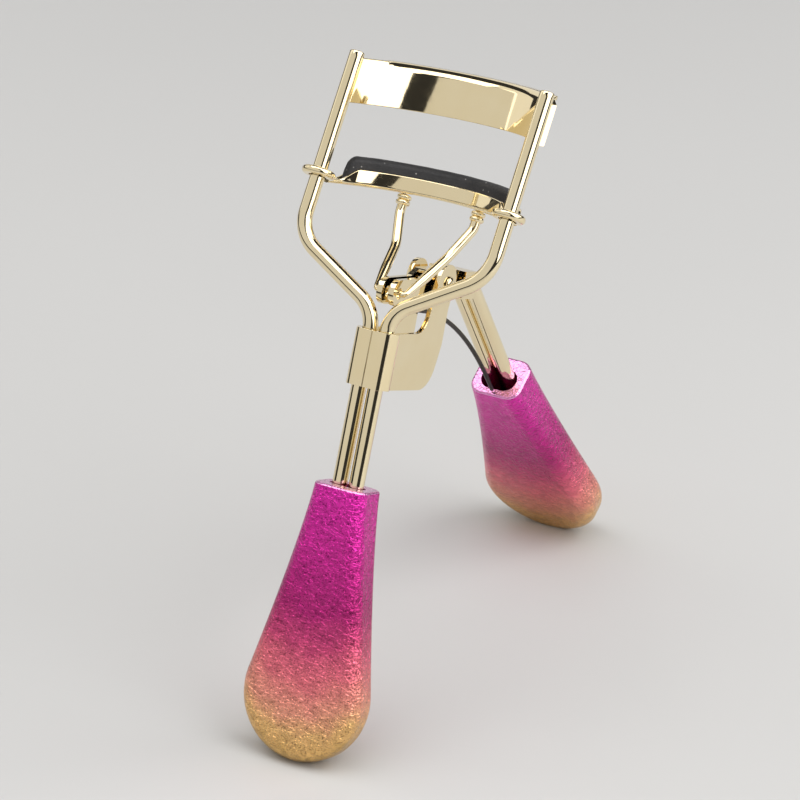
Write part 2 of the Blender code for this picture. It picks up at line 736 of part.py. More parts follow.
STAND = make_empty("frame_axis", PARTS, None, (0, STAND_OFFSET_Y, FRAME_LIFT), -FRAME_LEAN)
RAILS = make_empty("rail_axis", PARTS, STAND, (0, 0, CORNER_HEIGHT), -RAIL_KINK)
JAW_SLIDE = make_empty("jaw_slide_axis", PARTS, STAND, (0, 0, CORNER_HEIGHT), -RAIL_KINK)
LEVER = make_empty("lever_axis", PARTS, STAND, (0, PIVOT_BACK, PIVOT_HEIGHT))

for wire_side, wire_name in ((-1, "frame_wire_left"), (1, "frame_wire_right")):
    make_wire(wire_name, frame_wire_path(wire_side), WIRE_DIAMETER, STAND, GOLD_WIRE)
make_handle("front_handle", STAND, FOIL, FRONT_SOCKET)
make_bracket(STAND, GOLD)
make_pin(STAND, GOLD)
make_upper_jaw(RAILS, GOLD)
make_lower_jaw(JAW_SLIDE, GOLD)
make_pad(JAW_SLIDE, RUBBER)
for rod_side, rod_name in ((-1, "push_rod_left"), (1, "push_rod_right")):
    make_push_rod(rod_name, rod_side, GOLD_WIRE)
make_lever_head(LEVER, GOLD)
make_lever_wires(LEVER, GOLD_WIRE)
_, HANDLE_TOP, LEVER_DOWN = lever_handle_top()
REAR = make_empty(
    "rear_handle_axis", PARTS, LEVER, HANDLE_TOP + LEVER_DOWN * HANDLE_LENGTH, LEVER_SPREAD
)
make_handle("rear_handle", REAR, FOIL, REAR_SOCKET)
make_spring(STAND, SPRING_STEEL)
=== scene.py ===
"""Eyelash curler: the finished look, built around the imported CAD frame.

Meshes are made in millimetres and placed in metres.
"""

import json
import math

import bmesh
import bpy
from mathutils import Matrix, Vector, noise


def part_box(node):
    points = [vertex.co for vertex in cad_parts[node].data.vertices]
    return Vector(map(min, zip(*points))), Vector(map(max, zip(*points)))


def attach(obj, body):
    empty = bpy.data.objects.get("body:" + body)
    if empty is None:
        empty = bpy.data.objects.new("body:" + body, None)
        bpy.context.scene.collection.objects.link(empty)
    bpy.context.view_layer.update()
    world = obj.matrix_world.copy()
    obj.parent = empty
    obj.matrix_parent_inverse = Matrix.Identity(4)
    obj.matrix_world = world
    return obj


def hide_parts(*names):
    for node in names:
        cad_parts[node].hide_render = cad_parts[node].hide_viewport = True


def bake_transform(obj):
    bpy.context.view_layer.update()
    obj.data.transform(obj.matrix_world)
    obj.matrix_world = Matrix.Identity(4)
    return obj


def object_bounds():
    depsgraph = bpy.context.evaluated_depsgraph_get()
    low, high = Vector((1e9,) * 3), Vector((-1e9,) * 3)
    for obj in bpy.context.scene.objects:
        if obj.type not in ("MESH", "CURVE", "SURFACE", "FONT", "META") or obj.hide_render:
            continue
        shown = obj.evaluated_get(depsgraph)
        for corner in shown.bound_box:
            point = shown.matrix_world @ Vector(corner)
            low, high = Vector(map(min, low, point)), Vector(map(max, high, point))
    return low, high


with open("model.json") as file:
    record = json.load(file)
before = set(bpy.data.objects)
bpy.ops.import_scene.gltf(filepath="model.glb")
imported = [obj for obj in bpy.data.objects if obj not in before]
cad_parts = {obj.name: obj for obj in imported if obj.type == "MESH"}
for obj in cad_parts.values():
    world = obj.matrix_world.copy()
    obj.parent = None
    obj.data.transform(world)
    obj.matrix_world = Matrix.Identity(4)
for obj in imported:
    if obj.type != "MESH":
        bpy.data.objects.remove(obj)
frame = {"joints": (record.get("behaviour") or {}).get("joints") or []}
CAD_LOW, CAD_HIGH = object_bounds()
JOINTS = {joint["name"]: joint for joint in frame["joints"]}
MM = 0.001

# The frame's attitude, from the record's joints
SLIDE = Vector(JOINTS["jaw_slide"]["axis"])
PIVOT = Vector(JOINTS["lever_hinge"]["pos_m"])
RAIL_KINK = math.radians(15.0)
LEAN = math.atan2(SLIDE.y, SLIDE.z) - RAIL_KINK
LEVER_SPREAD = math.radians(53.6)

# Dimensions in millimetres. Most repeat the CAD's; a few only soften or fit the finished pieces
WIRE_RADIUS = 1.3
SHANK_PITCH = 3.1
RAIL_SPACING = 35.8
LEG_SLOPE = math.radians(30.0)
CORNER_HEIGHT = 86.5
RAIL_LENGTH = 32.4
CORNER_RADIUS = 7.0
SHOULDER_RADIUS = 6.0
HANDLE_LENGTH = 47.4
HANDLE_TOP_WIDTH = 9.8
HANDLE_TOP_THICKNESS = 8.6
HANDLE_TIP_THICKNESS = 6.5
SPOON_RADIUS = 11.2
RIM_RADIUS = 2.2
SOFT_RIM_RADIUS = 2.5
SOCKET_DEPTH = 14.0
FRONT_SOCKET = (6.4, 3.4, 0.0)
REAR_SOCKET = (6.8, 4.6, -0.6)
FIT_GAP = 0.3
SHEET = 0.8
BAND_BOTTOM = 64.4
BAND_TOP = 73.9
CHEEK_CENTRE = 2.75
CHEEK_BACK = 18.7
EAR_RADIUS = 3.3
PIVOT_BACK = 16.7
PIVOT_HEIGHT = 82.4
PIN_RADIUS = 0.75
PIN_HEAD_RADIUS = 1.3
PIN_HEAD_HEIGHT = 0.7
TIP_REACH = 14.8
TIP_DROP = 2.0
KNUCKLE_RADIUS = 2.2
FORK_WIDTH = 3.2
LOBE_SHEET = 1.0
KNUCKLE_BORE = 0.95
WEB_START = 4.6
SLEEVE_WIDTH = 7.2
SLEEVE_START = 5.2
SLEEVE_END = 10.4
LEVER_BEND_BACK = 12.1
LEVER_BEND_HEIGHT = -0.1
JAW_CENTRE_Y = -6.9
JAW_TILT = math.tan(math.radians(18.0))
JAW_RADIUS = 19.95
UPPER_BOTTOM = 23.3
UPPER_TOP = 31.3
UPPER_LIP = 1.9
LOWER_BOTTOM = 9.1
CHANNEL_WIDTH = 3.9
CHANNEL_HEIGHT = 3.05
CHANNEL_SHEET = 0.7
CHANNEL_HALF_ANGLE = math.radians(62.0)
WALL_FULL_ANGLE = math.radians(47.0)
WALL_END_ANGLE = math.radians(56.0)
PAD_WIDTH = 2.2
PAD_TOP = 5.1
PAD_HALF_ANGLE = math.radians(53.0)
EYE_RADIUS = 2.9
EYE_BORE_RADIUS = 1.6
EYE_BOTTOM = 10.1
EYE_THICKNESS = 1.3
WRAP_RADIUS = 1.75
ROD_RADIUS = 0.85
ROD_TOP_X = 7.05
ROD_GAP = 0.3
ROD_NECK = 3.2
ROD_ELBOW = (5.0, 10.6, 87.4)
KNUCKLE_GAP = 0.35
BEAD_LENGTH = 0.95
BEAD_SCALE = 1.5
ROD_TIP_TAPER = 5.0
ROD_TIP_SCALE = 0.62
SPRING_RADIUS = 0.4
SPRING_START = (0, 3.0, 76.2)
SPRING_CROWN = (0, 25.0, 81.0)
SPRING_END_DEPTH = 0.6
SPRING_END_FRONT = 3.4
FOOT_CUT = 0.6
LEVER_WIRE_SHORT = 0.6

# Only the finished pieces use these, in millimetres and radians
PIN_BORE_RADIUS = 1.05
HOOK_CLEARANCE = 0.12
LIP_END_ANGLE = math.radians(49)
LIP_FADE_ANGLE = math.radians(3.5)
WRAP_END_ANGLE = math.radians(42)

# The foil: how deep its end face reaches, in metres, and its fade from the tip (0) to the socket (1)
END_FACE_DEPTH = 0.00035
FOIL_FADE = (
    (0.00, (0.66, 0.42, 0.12)),
    (0.09, (0.95, 0.56, 0.22)),
    (0.17, (0.98, 0.40, 0.27)),
    (0.30, (0.95, 0.20, 0.26)),
    (0.42, (0.72, 0.075, 0.22)),
    (0.54, (0.52, 0.016, 0.20)),
    (0.72, (0.68, 0.018, 0.32)),
    (1.00, (0.84, 0.022, 0.46)),
)

# Soft boxes: azimuth and elevation in degrees, then distance, width, height, radiance and colour
WARM_WHITE = (1.0, 0.985, 0.955)
SOFT_WHITE = (1.0, 0.99, 0.97)
SOFT_BOXES = (
    ("front_box", -23, 34, 0.75, 1.95, 0.75, 0.66, WARM_WHITE),
    ("left_panel", -94, 34, 0.75, 0.34, 0.75, 0.85, WARM_WHITE),
    ("side_box", 102, 34, 0.75, 1.0, 0.75, 2.2, SOFT_WHITE),
    ("back_panel", -158, 16, 0.9, 1.1, 0.45, 0.8, SOFT_WHITE),
    ("top_box", 10, 84, 0.9, 1.3, 0.7, 2.2, SOFT_WHITE),
)
LIGHT_TARGET = Vector((0.0, -0.01, 0.06))
STUDIO_GREY = (0.032, 0.032, 0.034, 1.0)
FLOOR_HALF = 2
FLOOR_DROP = 0.00005

# The camera at the photograph's angle, in metres and degrees
CAMERA_AZIMUTH = 28.57
CAMERA_ELEVATION = 26.81
CAMERA_DISTANCE = 0.6133
CAMERA_ROLL = 0.8
CAMERA_AIM = Vector((0.0018, -0.01655, 0.05405))
CAMERA_LENS = 164.21

STAND = (
    Matrix.Translation(PIVOT)
    @ Matrix.Rotation(-LEAN, 4, "X")
    @ Matrix.Translation(Vector((0, -PIVOT_BACK, -PIVOT_HEIGHT)) * MM)
)
RAILS = STAND @ Matrix.Translation((0, 0, CORNER_HEIGHT * MM)) @ Matrix.Rotation(-RAIL_KINK, 4, "X")
LEVER = STAND @ Matrix.Translation(Vector((0, PIVOT_BACK, PIVOT_HEIGHT)) * MM)


# ---------------------------------------------------------------- mesh helpers


def finish_piece(name, mesh, matrix, body, nodes, material, sharp=35.0):
    """Places a mesh given in millimetres, and has it stand for its CAD nodes on their body."""
    mesh.transform(matrix @ Matrix.Scale(MM, 4))
    obj = bpy.data.objects.new(name, mesh)
    bpy.context.scene.collection.objects.link(obj)
    mesh.shade_smooth()
    mesh.set_sharp_from_angle(angle=math.radians(sharp))
    mesh.materials.append(material)
    if body:
        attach(obj, body)
    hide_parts(*nodes)
    return obj


def mesh_from(name, verts, faces):
    """A mesh straight from its vertices and faces."""
    mesh = bpy.data.meshes.new(name)
    mesh.from_pydata([tuple(v) for v in verts], [], faces)
    mesh.validate()
    return mesh


def bmesh_to_mesh(name, bm):
    """The bmesh as a mesh with its normals outward. The bmesh is used up."""
    bmesh.ops.recalc_face_normals(bm, faces=bm.faces)
    mesh = bpy.data.meshes.new(name)
    bm.to_mesh(mesh)
    bm.free()
    return mesh


def arc_corners(corners, radii, spacing=0.3):
    """The corners as a path, with each inner corner an arc of its radius, and points along every run."""
    points = [corners[0]]
    for before, corner, after, radius in zip(corners, corners[1:], corners[2:], radii):
        back = (before - corner).normalized()
        ahead = (after - corner).normalized()
        half = back.angle(ahead) / 2
        centre = corner + (back + ahead).normalized() * radius / math.sin(half)
        reach = radius / math.tan(half)
        start = corner + back * reach - centre
        end = corner + ahead * reach - centre
        sweep = start.angle(end)
        steps = max(4, math.ceil(sweep * radius / spacing))
        for step in range(steps + 1):
            turn = sweep * step / steps
            arm = (start * math.sin(sweep - turn) + end * math.sin(turn)) / math.sin(sweep)
            points.append(centre + arm)
    points.append(corners[-1])
    full = [points[0]]
    for near, far in zip(points, points[1:]):
        pieces = max(1, math.ceil((far - near).length / 1.0))
        full.extend(near.lerp(far, step / pieces) for step in range(1, pieces + 1))
    return full


def rounded_loop(corners, radii, steps=10):
    """A closed 2D outline from its corners, each one replaced by an arc of its radius."""
    points = []
    count = len(corners)
    for index, radius in enumerate(radii):
        before = Vector(corners[index - 1])
        corner = Vector(corners[index])
        after = Vector(corners[(index + 1) % count])
        if radius == 0:
            points.append(corner)
            continue
        back = (before - corner).normalized()
        ahead = (after - corner).normalized()
        half = back.angle(ahead) / 2
        centre = corner + (back + ahead).normalized() * radius / math.sin(half)
        reach = radius / math.tan(half)
        start = corner + back * reach - centre
        end = corner + ahead * reach - centre
        sweep = start.angle(end)
        for step in range(steps + 1):
            turn = sweep * step / steps
            arm = (start * math.sin(sweep - turn) + end * math.sin(turn)) / math.sin(sweep)
            points.append(centre + arm)
    return points


def slot_outline(width, thickness, middle, radius):
    """A closed slot outline, centred across and at a middle height, with its corners rounded."""
    low = middle - thickness / 2
    high = middle + thickness / 2
    corners = [(-width / 2, low), (width / 2, low), (width / 2, high), (-width / 2, high)]
    return rounded_loop(corners, [radius] * 4, 10)


def tube_mesh(name, path, radius, sides=36, scales=None, end_round=0.25):
    """A wire swept along a path in millimetres, with softly broken edges at its two cut ends."""
    points = [Vector(p) for p in path]
    scales = list(scales) if scales else [1.0] * len(points)
    tangents = []
    for index in range(len(points)):
        near = points[max(index - 1, 0)]
        far = points[min(index + 1, len(points) - 1)]
        tangents.append((far - near).normalized())
    side = Vector((1, 0, 0))
    side = (side - tangents[0] * side.dot(tangents[0])).normalized()
    rings = []
    for point, tangent, scale in zip(points, tangents, scales):
        side = (side - tangent * side.dot(tangent)).normalized()
        rings.append((point, tangent, side.copy(), radius * scale))
    first, last = rings[0], rings[-1]
    soft = []
    for step in range(4):
        turn = math.pi / 2 * step / 3
        soft.append((end_round * (1 - math.sin(turn)), end_round * (1 - math.cos(turn))))
    head = [(first[0] + first[1] * inset, first[1], first[2], first[3] - cut) for cut, inset in soft]
    tail = [(last[0] - last[1] * inset, last[1], last[2], last[3] - cut) for cut, inset in reversed(soft)]
    clear = end_round * 1.1
    inner = [r for r in rings if min((r[0] - first[0]).length, (r[0] - last[0]).length) > clear]
    rings = head + inner + tail
    verts = []
    for point, tangent, side, size in rings:
        up = tangent.cross(side)
        for step in range(sides):
            turn = 2 * math.pi * step / sides
            verts.append(point + (side * math.cos(turn) + up * math.sin(turn)) * size)
    faces = []
    for ring in range(len(rings) - 1):
        for step in range(sides):
            a = ring * sides + step
            b = ring * sides + (step + 1) % sides
            faces.append((a, b, b + sides, a + sides))
    faces.append(tuple(range(sides))[::-1])
    base = (len(rings) - 1) * sides
    faces.append(tuple(base + step for step in range(sides)))
    return mesh_from(name, verts, faces)


def prism(outline, axis, low, high):
    """A 2D outline pushed along an axis from low to high, as a bmesh."""
    bm = bmesh.new()
    place = {
        "X": lambda a, b, c: (c, a, b),
        "Y": lambda a, b, c: (a, c, b),
        "Z": lambda a, b, c: (a, b, c),
    }[axis]
    face = bm.faces.new([bm.verts.new(place(p[0], p[1], low)) for p in outline])
    top = bmesh.ops.extrude_face_region(bm, geom=[face])
    moved = [item for item in top["geom"] if isinstance(item, bmesh.types.BMVert)]
    bmesh.ops.translate(bm, verts=moved, vec=Vector(place(0, 0, high - low)))
    bmesh.ops.recalc_face_normals(bm, faces=bm.faces)
    return bm


def box(low, high):
    """A box between two corners, as a bmesh cutter."""
    bm = bmesh.new()
    bmesh.ops.create_cube(bm, size=1.0)
    low = Vector(low)
    high = Vector(high)
    scale = Matrix.Diagonal((*(high - low), 1.0))
    bmesh.ops.transform(bm, verts=bm.verts, matrix=Matrix.Translation((low + high) / 2) @ scale)
    return bm


def disc(radius, depth, matrix, segments=64):
    """A round plate or cutter about its matrix's Z axis, as a bmesh."""
    bm = bmesh.new()
    bmesh.ops.create_cone(
        bm,
        cap_ends=True,
        segments=segments,
        radius1=radius,
        radius2=radius,
        depth=depth,
        matrix=matrix,
    )
    return bm


def carve(mesh, cutters, bevel=0.0, segments=3):
    """The mesh after a list of (bmesh, operation), with its sharp edges softened. All in millimetres."""
    scene = bpy.context.scene
    work = bpy.data.objects.new("work", mesh)
    scene.collection.objects.link(work)
    helpers = []
    for bm, operation in cutters:
        helper = bpy.data.objects.new("helper", bmesh_to_mesh("helper", bm))
        scene.collection.objects.link(helper)
        modifier = work.modifiers.new("cut", "BOOLEAN")
        modifier.solver = "EXACT"
        modifier.operation = operation
        modifier.object = helper
        helpers.append(helper)
    if bevel:
        weld = work.modifiers.new("weld", "WELD")
        weld.merge_threshold = 0.01
        soft = work.modifiers.new("soft", "BEVEL")
        soft.width = bevel
        soft.segments = segments
        soft.limit_method = "ANGLE"
        soft.angle_limit = math.radians(50)
        soft.use_clamp_overlap = True
        soft.harden_normals = False
    bpy.context.view_layer.update()
    graph = bpy.context.evaluated_depsgraph_get()
    result = bpy.data.meshes.new_from_object(work.evaluated_get(graph))
    for helper in helpers:
        bpy.data.objects.remove(helper)
    bpy.data.objects.remove(work)
    return result


def weighted(obj):
    """Large flat faces keep flat shading where they meet their rounded edges."""
    modifier = obj.modifiers.new("weighted", "WEIGHTED_NORMAL")
    modifier.keep_sharp = True
    modifier.weight = 80
    return obj


def ring_sweep(name, rings):
    """A solid through closed rings of the same length, capped at both ends."""
    count = len(rings[0])
    verts = [v for ring in rings for v in ring]
    faces = []
    for ring in range(len(rings) - 1):
        for step in range(count):
            a = ring * count + step
            b = ring * count + (step + 1) % count
            faces.append((a, b, b + count, a + count))
    faces.append(tuple(range(count))[::-1])
    base = (len(rings) - 1) * count
    faces.append(tuple(base + step for step in range(count)))
    mesh = mesh_from(name, verts, faces)
    bm = bmesh.new()
    bm.from_mesh(mesh)
    bmesh.ops.recalc_face_normals(bm, faces=bm.faces)
    bm.to_mesh(mesh)
    bm.free()
    return mesh


# ---------------------------------------------------------------- materials


def node_material(name):
    material = bpy.data.materials.new(name)
    material.use_nodes = True
    tree = material.node_tree
    return material, tree, tree.nodes["Principled BSDF"]


def add_node(tree, kind, **settings):
    node = tree.nodes.new(kind)
    for key, value in settings.items():
        if key in node.inputs:
            node.inputs[key].default_value = value
        else:
            setattr(node, key, value)
    return node


def math_node(tree, operation, first, second):
    """The output of one Math node. Each side is a number or a socket."""
    node = tree.nodes.new("ShaderNodeMath")
    node.operation = operation
    for socket, value in zip(node.inputs, (first, second)):
        if isinstance(value, (int, float)):
            socket.default_value = value
        else:
            tree.links.new(value, socket)
    return node.outputs[0]


def ramp(tree, factor, stops):
    node = tree.nodes.new("ShaderNodeValToRGB")
    elements = node.color_ramp.elements
    while len(elements) < len(stops):
        elements.new(0.5)
    for element, (place, colour) in zip(elements, stops):
        element.position = place
        element.color = (*colour, 1.0)
    tree.links.new(factor, node.inputs["Fac"])
    return node.outputs["Color"]


def mix_colour(tree, factor, first, second, blend="MIX"):
    node = tree.nodes.new("ShaderNodeMix")
    node.data_type = "RGBA"
    node.blend_type = blend
    for socket, value in ((node.inputs[0], factor), (node.inputs[6], first), (node.inputs[7], second)):
        if isinstance(value, (int, float)):
            socket.default_value = value
        elif isinstance(value, tuple):
            socket.default_value = (*value, 1.0)
        else:
            tree.links.new(value, socket)
    return node.outputs[2]


def grey(value):
    return (value, value, value)


def plated(name, light, deep, roughness=(0.035, 0.09), specks=0.6):
    """Bright plating over steel: a slow waver in the polish, faint haze, and a few specks of dust."""
    material, tree, shader = node_material(name)
    coords = add_node(tree, "ShaderNodeTexCoord").outputs["Object"]
    slow = add_node(tree, "ShaderNodeTexNoise", Scale=170.0, Detail=2.0)
    haze = add_node(tree, "ShaderNodeTexNoise", Scale=900.0, Detail=4.0, Roughness=0.6)
    dust = add_node(tree, "ShaderNodeTexVoronoi", Scale=520.0)
    for node in (slow, haze, dust):
        tree.links.new(coords, node.inputs["Vector"])
    colour = ramp(tree, slow.outputs["Fac"], [(0.3, light), (0.7, deep)])
    speck_stops = [(0.0, grey(specks)), (0.045, grey(specks)), (0.09, grey(0.0))]
    spot = ramp(tree, dust.outputs["Distance"], speck_stops)
    rare = ramp(tree, haze.outputs["Fac"], [(0.56, grey(0.0)), (0.62, grey(1.0))])
    spot = math_node(tree, "MULTIPLY", spot, rare)
    colour = mix_colour(tree, spot, colour, (0.75, 0.72, 0.66))
    tree.links.new(colour, shader.inputs["Base Color"])
    shader.inputs["Metallic"].default_value = 1.0
    low, high = roughness
    rough = ramp(tree, haze.outputs["Fac"], [(0.3, grey(low)), (0.75, grey(high))])
    rough = math_node(tree, "ADD", rough, math_node(tree, "MULTIPLY", spot, 0.5))
    tree.links.new(rough, shader.inputs["Roughness"])
    fine = math_node(tree, "MULTIPLY", haze.outputs["Fac"], 0.06)
    height = math_node(tree, "ADD", slow.outputs["Fac"], fine)
    bump = add_node(tree, "ShaderNodeBump", Strength=0.22, Distance=0.00006)
    tree.links.new(height, bump.inputs["Height"])
    tree.links.new(bump.outputs["Normal"], shader.inputs["Normal"])
    return material


def crinkled_foil(name, matrix, length):
    """Crinkled metallic foil under clear lacquer, from magenta at the socket to gold at the tip."""
    material, tree, shader = node_material(name)
    local = matrix.inverted()
    mapping = add_node(tree, "ShaderNodeMapping", Location=local.translation, Rotation=local.to_euler())
    tree.links.new(add_node(tree, "ShaderNodeTexCoord").outputs["Object"], mapping.inputs["Vector"])
    coords = mapping.outputs[0]
    split = add_node(tree, "ShaderNodeSeparateXYZ")
    tree.links.new(coords, split.inputs[0])
    cloud = add_node(tree, "ShaderNodeTexNoise", Scale=260.0, Detail=3.0)
    warp = add_node(tree, "ShaderNodeTexNoise", Scale=700.0, Detail=2.0)
    tree.links.new(coords, cloud.inputs["Vector"])
    tree.links.new(coords, warp.inputs["Vector"])
    offset = add_node(tree, "ShaderNodeVectorMath", operation="SUBTRACT")
    tree.links.new(warp.outputs["Color"], offset.inputs[0])
    offset.inputs[1].default_value = (0.5, 0.5, 0.5)
    scaled = add_node(tree, "ShaderNodeVectorMath", operation="SCALE")
    tree.links.new(offset.outputs[0], scaled.inputs[0])
    scaled.inputs["Scale"].default_value = 0.0012
    moved = add_node(tree, "ShaderNodeVectorMath", operation="ADD")
    tree.links.new(coords, moved.inputs[0])
    tree.links.new(scaled.outputs[0], moved.inputs[1])
    creases = add_node(tree, "ShaderNodeTexVoronoi", feature="DISTANCE_TO_EDGE", Scale=1150.0)
    fine = add_node(tree, "ShaderNodeTexVoronoi", feature="DISTANCE_TO_EDGE", Scale=2300.0)
    facets = add_node(tree, "ShaderNodeTexVoronoi", Scale=1150.0)
    hairs = add_node(
        tree,
        "ShaderNodeTexNoise",
        noise_type="RIDGED_MULTIFRACTAL",
        normalize=True,
        Scale=620.0,
        Detail=3.0,
        Distortion=1.2,
    )
    for node in (creases, fine, facets, hairs):
        tree.links.new(moved.outputs[0], node.inputs["Vector"])
    # Height: curved hair-like wrinkles over small crumpled facets
    ridge = ramp(tree, creases.outputs["Distance"], [(0.0, grey(1.0)), (0.16, grey(0.25)), (0.5, grey(0.0))])
    ridge_fine = ramp(tree, fine.outputs["Distance"], [(0.0, grey(1.0)), (0.3, grey(0.0))])
    height = math_node(tree, "MULTIPLY", ridge, 0.55)
    height = math_node(tree, "ADD", height, math_node(tree, "MULTIPLY", ridge_fine, 0.25))
    height = math_node(tree, "ADD", height, math_node(tree, "MULTIPLY", hairs.outputs["Fac"], 0.75))
    height = math_node(tree, "ADD", height, math_node(tree, "MULTIPLY", cloud.outputs["Fac"], 0.35))
    end_face = math_node(tree, "GREATER_THAN", split.outputs["Z"], length - END_FACE_DEPTH)
    calm = math_node(tree, "SUBTRACT", 1.0, math_node(tree, "MULTIPLY", end_face, 0.7))
    height = math_node(tree, "MULTIPLY", height, calm)
    bump = add_node(tree, "ShaderNodeBump", Strength=1.0, Distance=0.00018)
    tree.links.new(height, bump.inputs["Height"])
    tree.links.new(bump.outputs["Normal"], shader.inputs["Normal"])
    tree.links.new(bump.outputs["Normal"], shader.inputs["Coat Normal"])
    # Colour: the fade along the handle wavers a little, and the wrinkle crests get a painted pinkish
    # highlight
    waver = math_node(tree, "MULTIPLY", math_node(tree, "SUBTRACT", cloud.outputs["Fac"], 0.5), 0.10)
    along = math_node(tree, "DIVIDE", split.outputs["Z"], length)
    along = math_node(tree, "ADD", along, waver)
    aside = math_node(tree, "DIVIDE", split.outputs["X"], SPOON_RADIUS * MM)
    aside = math_node(tree, "MULTIPLY", math_node(tree, "MULTIPLY", aside, aside), 0.1)
    along = math_node(tree, "SUBTRACT", along, aside)
    fade = ramp(tree, along, FOIL_FADE)
    tone = ramp(tree, facets.outputs["Color"], [(0.0, grey(0.78)), (1.0, grey(1.12))])
    colour = mix_colour(tree, 1.0, fade, tone, "MULTIPLY")
    # Painted highlight: the crests of the hair-like wrinkles are mixed towards a pale pink, standing in for
    # glints of the lights
    painted_crest_highlight = ramp(tree, hairs.outputs["Fac"], [(0.55, grey(0.0)), (0.85, grey(0.28))])
    colour = mix_colour(tree, painted_crest_highlight, colour, (0.95, 0.34, 0.66))
    # Painted highlight: the top end face is mixed towards a pale lilac, standing in for the top light's
    # reflection
    colour = mix_colour(tree, math_node(tree, "MULTIPLY", end_face, 0.8), colour, (0.92, 0.46, 0.78))
    tree.links.new(colour, shader.inputs["Base Color"])
    shader.inputs["Metallic"].default_value = 0.9
    rough = ramp(tree, hairs.outputs["Fac"], [(0.3, grey(0.20)), (0.8, grey(0.36))])
    tree.links.new(rough, shader.inputs["Roughness"])
    shader.inputs["Coat Weight"].default_value = 0.35
    shader.inputs["Coat Roughness"].default_value = 0.15
    return material


def soft_rubber(name):
    """Matt black rubber with a fine grain and patches of dust."""
    material, tree, shader = node_material(name)
    coords = add_node(tree, "ShaderNodeTexCoord").outputs["Object"]
    grain = add_node(tree, "ShaderNodeTexNoise", Scale=2600.0, Detail=4.0)
    dust = add_node(tree, "ShaderNodeTexVoronoi", Scale=900.0)
    patch = add_node(tree, "ShaderNodeTexNoise", Scale=300.0, Detail=2.0)
    for node in (grain, dust, patch):
        tree.links.new(coords, node.inputs["Vector"])
    spot = ramp(tree, dust.outputs["Distance"], [(0.0, grey(1.0)), (0.09, grey(1.0)), (0.14, grey(0.0))])
    dusty = ramp(tree, patch.outputs["Fac"], [(0.5, grey(0.0)), (0.6, grey(0.8))])
    spot = math_node(tree, "MULTIPLY", spot, dusty)
    base = ramp(tree, patch.outputs["Fac"], [(0.3, (0.010, 0.010, 0.012)), (0.7, (0.022, 0.021, 0.024))])
    tree.links.new(mix_colour(tree, spot, base, (0.35, 0.34, 0.33)), shader.inputs["Base Color"])
    rough = ramp(tree, grain.outputs["Fac"], [(0.3, grey(0.5)), (0.7, grey(0.7))])
    tree.links.new(rough, shader.inputs["Roughness"])
    bump = add_node(tree, "ShaderNodeBump", Strength=0.35, Distance=0.00005)
    tree.links.new(grain.outputs["Fac"], bump.inputs["Height"])
    tree.links.new(bump.outputs["Normal"], shader.inputs["Normal"])
    return material


def oiled_spring(name):
    """Dark drawn spring wire."""
    material, tree, shader = node_material(name)
    coords = add_node(tree, "ShaderNodeTexCoord").outputs["Object"]
    drawn = add_node(tree, "ShaderNodeTexNoise", Scale=1400.0, Detail=3.0)
    tree.links.new(coords, drawn.inputs["Vector"])
    colour = ramp(tree, drawn.outputs["Fac"], [(0.3, (0.035, 0.032, 0.030)), (0.7, (0.075, 0.068, 0.060))])
    tree.links.new(colour, shader.inputs["Base Color"])
    shader.inputs["Metallic"].default_value = 1.0
    rough = ramp(tree, drawn.outputs["Fac"], [(0.3, grey(0.28)), (0.7, grey(0.42))])
    tree.links.new(rough, shader.inputs["Roughness"])
    return material


def pale_floor(name):
    """A plain pale floor with a barely visible cloud in its tone."""
    material, tree, shader = node_material(name)
    coords = add_node(tree, "ShaderNodeTexCoord").outputs["Object"]
    cloud = add_node(tree, "ShaderNodeTexNoise", Scale=3.0, Detail=2.0)
    tree.links.new(coords, cloud.inputs["Vector"])
    colour = ramp(tree, cloud.outputs["Fac"], [(0.3, grey(0.62)), (0.7, grey(0.65))])
    tree.links.new(colour, shader.inputs["Base Color"])
    shader.inputs["Roughness"].default_value = 0.5
    shader.inputs["Specular IOR Level"].default_value = 0.25
    return material


GOLD = plated("pale_gold_plate", (0.93, 0.80, 0.53), (0.91, 0.77, 0.49))
GOLD_WIRE = plated("pale_gold_wire", (0.93, 0.81, 0.55), (0.91, 0.78, 0.51), (0.03, 0.08), 0.4)
RUBBER = soft_rubber("black_rubber")
SPRING_STEEL = oiled_spring("dark_spring_steel")


# ---------------------------------------------------------------- frame


def build_frame_wires():
    for side, node in ((-1, "frame_wire_left"), (1, "frame_wire_right")):
        run = (RAIL_SPACING - SHANK_PITCH) / 2
        shoulder = CORNER_HEIGHT - run * math.tan(LEG_SLOPE)
        corner = Vector((side * RAIL_SPACING / 2, 0, CORNER_HEIGHT))
        rail = Vector((0, math.sin(RAIL_KINK), math.cos(RAIL_KINK))) * RAIL_LENGTH
        corners = [
            Vector((side * SHANK_PITCH / 2, 0, HANDLE_LENGTH - SOCKET_DEPTH + FIT_GAP)),
            Vector((side * SHANK_PITCH / 2, 0, shoulder)),
            corner,
            corner + rail,
        ]
        path = arc_corners(corners, [SHOULDER_RADIUS, CORNER_RADIUS])
        mesh = tube_mesh(node + "_fine", path, WIRE_RADIUS, 40)
        finish_piece(node + "_fine", mesh, STAND, "frame", [node], GOLD_WIRE)


def handle_outline():
    """Half-widths of the spoon from its tip to its top: an arc, then a slightly hollow taper."""
    arc_end = math.radians(13.3)
    turns = 40
    arc = [-math.pi / 2 + (arc_end + math.pi / 2) * i / turns for i in range(1, turns + 1)]
    right = [Vector((SPOON_RADIUS * math.cos(a), SPOON_RADIUS * (1 + math.sin(a)))) for a in arc]
    widest = right[-1]
    top = HANDLE_TOP_WIDTH / 2
    steps = 34
    for index in range(1, steps + 1):
        share = 1 - index / steps
        width = top + (widest.x - top) * share**1.25
        right.append(Vector((width, HANDLE_LENGTH + (widest.y - HANDLE_LENGTH) * share)))
    left = [Vector((-p.x, p.y)) for p in reversed(right)]
    return [Vector((0, 0))] + right + left


